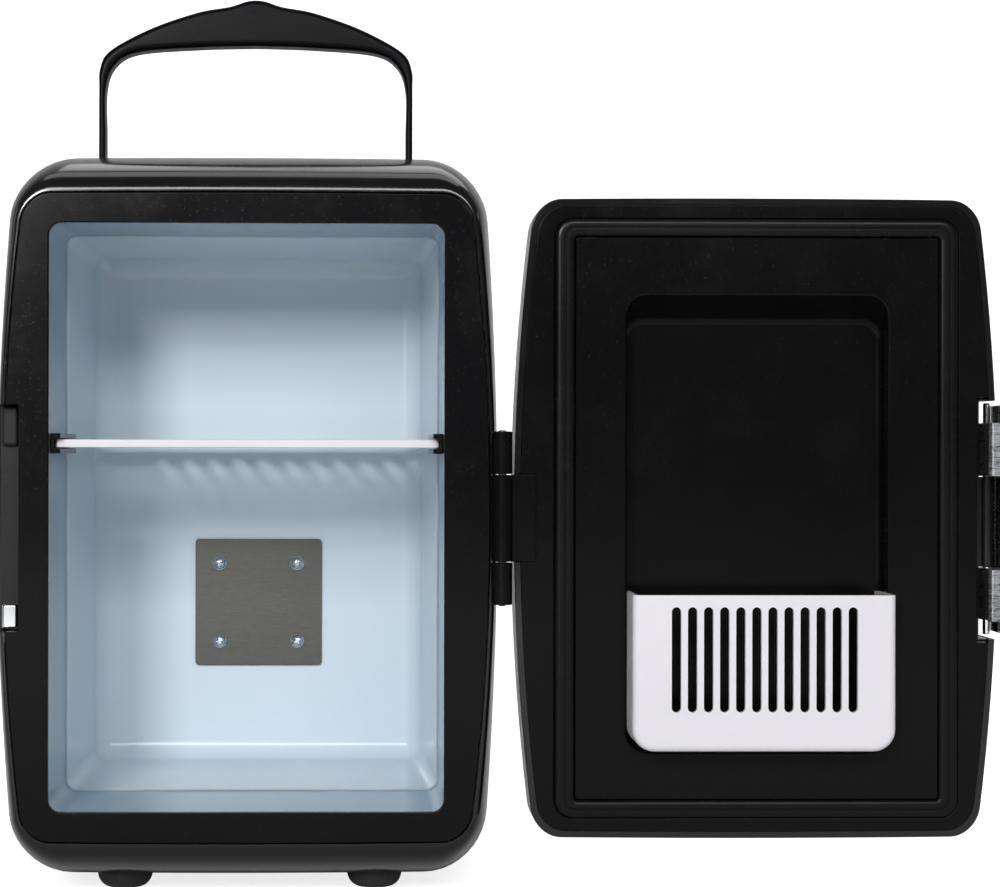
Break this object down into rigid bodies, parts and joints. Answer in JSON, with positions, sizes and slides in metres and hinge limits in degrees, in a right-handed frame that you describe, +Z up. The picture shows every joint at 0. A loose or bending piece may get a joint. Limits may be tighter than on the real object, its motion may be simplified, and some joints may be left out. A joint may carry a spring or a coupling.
{
  "type": "mini fridge",
  "caption": "Small thermoelectric fridge with a side-hinged insulated door swung open, a folding carry handle, a slide-out shelf and a door basket.",
  "frame": {"origin": "middle of the footprint of the whole object with its door fully open, on the floor under the feet", "axes": "+X to the right seen from the front, towards the open door; +Y to the back; +Z up; the front faces -Y"},
  "size_m": [0.3698, 0.2252, 0.3435],
  "materials": {
    "gloss_black": "glossy moulded ABS, nearly black",
    "satin_black": "satin moulded ABS, nearly black",
    "matte_black": "matte moulded plastic, black",
    "liner_blue": "smooth moulded liner, pale ice blue",
    "white_plastic": "satin moulded plastic, white",
    "foam": "cut rigid insulation foam, cream",
    "brushed_aluminium": "anodised aluminium, fine grain",
    "chrome": "bright plating",
    "steel": "zinc plated steel",
    "ceramic": "white ceramic faces",
    "circuit_board": "green laminate",
    "rubber_foot": "moulded black rubber",
    "gasket_rubber": "soft black seal",
    "red_lens": "clear red plastic",
    "green_lens": "clear green plastic"
  },
  "bodies": {
    "cabinet": {"outer_shell": "gloss_black", "front_bezel": "satin_black", "liner": "liner_blue", "insulation_foam": "foam", "shelf_rail_left": "satin_black", "shelf_rail_right": "satin_black", "cold_plate": "brushed_aluminium", "cold_plate_screw_1": "chrome", "cold_plate_screw_2": "chrome", "cold_plate_screw_3": "chrome", "cold_plate_screw_4": "chrome", "cold_block": "brushed_aluminium", "peltier_module": "ceramic", "heat_sink": "brushed_aluminium", "fan_frame": "matte_black", "fan_screw_1": "steel", "fan_screw_2": "steel", "fan_screw_3": "steel", "fan_screw_4": "steel", "rear_panel": "matte_black", "rear_panel_screw_1": "steel", "rear_panel_screw_2": "steel", "rear_panel_screw_3": "steel", "rear_panel_screw_4": "steel", "ac_inlet": "matte_black", "ac_inlet_pin_1": "steel", "ac_inlet_pin_2": "steel", "dc_inlet": "matte_black", "mode_switch_body": "matte_black", "indicator_lens_red": "red_lens", "indicator_lens_green": "green_lens", "control_board": "circuit_board", "transformer": "steel", "foot_front_left": "rubber_foot", "foot_front_right": "rubber_foot", "foot_rear_left": "rubber_foot", "foot_rear_right": "rubber_foot", "hinge_pin": "steel", "latch_keeper": "chrome", "handle_pin_left": "satin_black", "handle_pin_right": "satin_black"},
    "door": {"door_outer_shell": "gloss_black", "door_inner_panel": "satin_black", "door_gasket": "gasket_rubber", "door_foam": "foam", "latch_pin": "chrome"},
    "basket": {"door_basket": "white_plastic"},
    "latch": {"latch_lever": "chrome"},
    "handle": {"handle": "satin_black"},
    "shelf": {"shelf": "white_plastic"},
    "rocker": {"mode_rocker": "satin_black"},
    "fan": {"fan_rotor": "matte_black"}
  },
  "joints": [
    {"name": "door_hinge", "type": "hinge", "parent": "cabinet", "child": "door", "pos_m": [0.0012, -0.0938, 0.14], "axis": [0, 0, 1], "range_deg": [-180, 0]},
    {"name": "basket_slide", "type": "slide", "parent": "door", "child": "basket", "axis": [0, 0, 1], "range_m": [0, 0.08]},
    {"name": "latch_hinge", "type": "hinge", "parent": "door", "child": "latch", "pos_m": [0.1806, -0.0826, 0.14], "axis": [0, 0, 1], "range_deg": [-6, 18]},
    {"name": "handle_fold", "type": "hinge", "parent": "cabinet", "child": "handle", "pos_m": [-0.0916, 0.0024, 0.269], "axis": [-1, 0, 0], "range_deg": [0, 90]},
    {"name": "shelf_slide", "type": "slide", "parent": "cabinet", "child": "shelf", "axis": [0, -1, 0], "range_m": [0, 0.11]},
    {"name": "mode_rocker_tilt", "type": "hinge", "parent": "cabinet", "child": "rocker", "pos_m": [-0.0916, 0.1078, 0.038], "axis": [0, 0, 1], "range_deg": [-10, 10]},
    {"name": "fan_spin", "type": "hinge", "parent": "cabinet", "child": "fan", "pos_m": [-0.0916, 0.0954, 0.1019], "axis": [0, 1, 0], "continuous": true}
  ]
}
